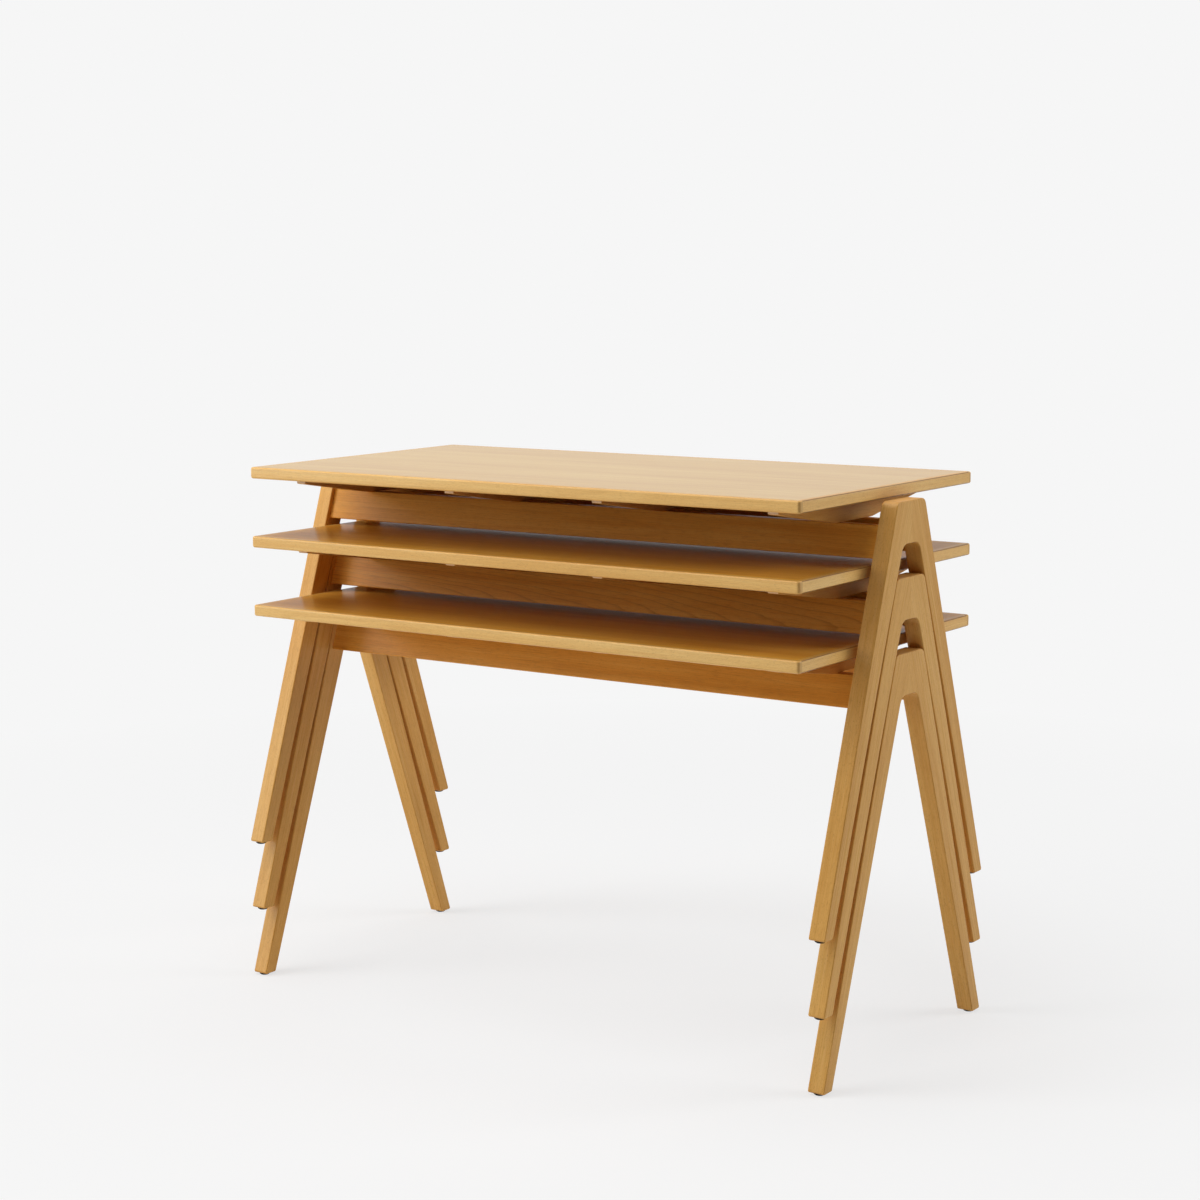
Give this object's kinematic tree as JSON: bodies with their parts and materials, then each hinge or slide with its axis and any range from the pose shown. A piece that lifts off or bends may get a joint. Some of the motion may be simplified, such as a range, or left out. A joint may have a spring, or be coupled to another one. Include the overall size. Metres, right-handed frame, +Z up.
{
  "type": "stacked trestle tables",
  "caption": "Nested pile of identical rectangular wooden tables with A-shaped end frames; each lifts straight up off the one below.",
  "frame": {"origin": "on the floor, under the middle of the pile", "axes": "+X along the tables towards the right end frames, +Y from front to back, +Z up"},
  "size_m": [1.2514, 0.602, 0.9763],
  "materials": {
    "veneered_top": "beech veneer under clear satin lacquer",
    "lipping_wood": "solid beech strip under clear satin lacquer",
    "frame_wood": "solid beech with eased edges under clear satin lacquer",
    "bearer_wood": "solid beech under clear satin lacquer",
    "dowel_wood": "bare turned beech",
    "screw_steel": "bright zinc-plated steel",
    "glide_plastic": "matt black plastic"
  },
  "bodies": {
    "lower_table": {"lower_top_panel": "veneered_top", "lower_back_lipping": "lipping_wood", "lower_front_lipping": "lipping_wood", "lower_left_lipping": "lipping_wood", "lower_right_lipping": "lipping_wood", "lower_back_rail": "frame_wood", "lower_front_rail": "frame_wood", "lower_outer_left_bearer": "bearer_wood", "lower_inner_left_bearer": "bearer_wood", "lower_inner_right_bearer": "bearer_wood", "lower_outer_right_bearer": "bearer_wood", "lower_right_back_leg": "frame_wood", "lower_right_front_leg": "frame_wood", "lower_left_back_leg": "frame_wood", "lower_left_front_leg": "frame_wood", "lower_rail_dowels": "dowel_wood", "lower_apex_dowels": "dowel_wood", "lower_bearer_dowels": "dowel_wood", "lower_top_screws": "screw_steel", "lower_glides": "glide_plastic"},
    "middle_table": {"middle_top_panel": "veneered_top", "middle_back_lipping": "lipping_wood", "middle_front_lipping": "lipping_wood", "middle_left_lipping": "lipping_wood", "middle_right_lipping": "lipping_wood", "middle_back_rail": "frame_wood", "middle_front_rail": "frame_wood", "middle_outer_left_bearer": "bearer_wood", "middle_inner_left_bearer": "bearer_wood", "middle_inner_right_bearer": "bearer_wood", "middle_outer_right_bearer": "bearer_wood", "middle_right_back_leg": "frame_wood", "middle_right_front_leg": "frame_wood", "middle_left_back_leg": "frame_wood", "middle_left_front_leg": "frame_wood", "middle_rail_dowels": "dowel_wood", "middle_apex_dowels": "dowel_wood", "middle_bearer_dowels": "dowel_wood", "middle_top_screws": "screw_steel", "middle_glides": "glide_plastic"},
    "upper_table": {"upper_top_panel": "veneered_top", "upper_back_lipping": "lipping_wood", "upper_front_lipping": "lipping_wood", "upper_left_lipping": "lipping_wood", "upper_right_lipping": "lipping_wood", "upper_back_rail": "frame_wood", "upper_front_rail": "frame_wood", "upper_outer_left_bearer": "bearer_wood", "upper_inner_left_bearer": "bearer_wood", "upper_inner_right_bearer": "bearer_wood", "upper_outer_right_bearer": "bearer_wood", "upper_right_back_leg": "frame_wood", "upper_right_front_leg": "frame_wood", "upper_left_back_leg": "frame_wood", "upper_left_front_leg": "frame_wood", "upper_rail_dowels": "dowel_wood", "upper_apex_dowels": "dowel_wood", "upper_bearer_dowels": "dowel_wood", "upper_top_screws": "screw_steel", "upper_glides": "glide_plastic"}
  },
  "joints": [
    {"name": "middle_lift", "type": "slide", "parent": "lower_table", "child": "middle_table", "axis": [0, 0, 1], "range_m": [0, 0.62]},
    {"name": "upper_lift", "type": "slide", "parent": "middle_table", "child": "upper_table", "axis": [0, 0, 1], "range_m": [0, 0.62]}
  ]
}
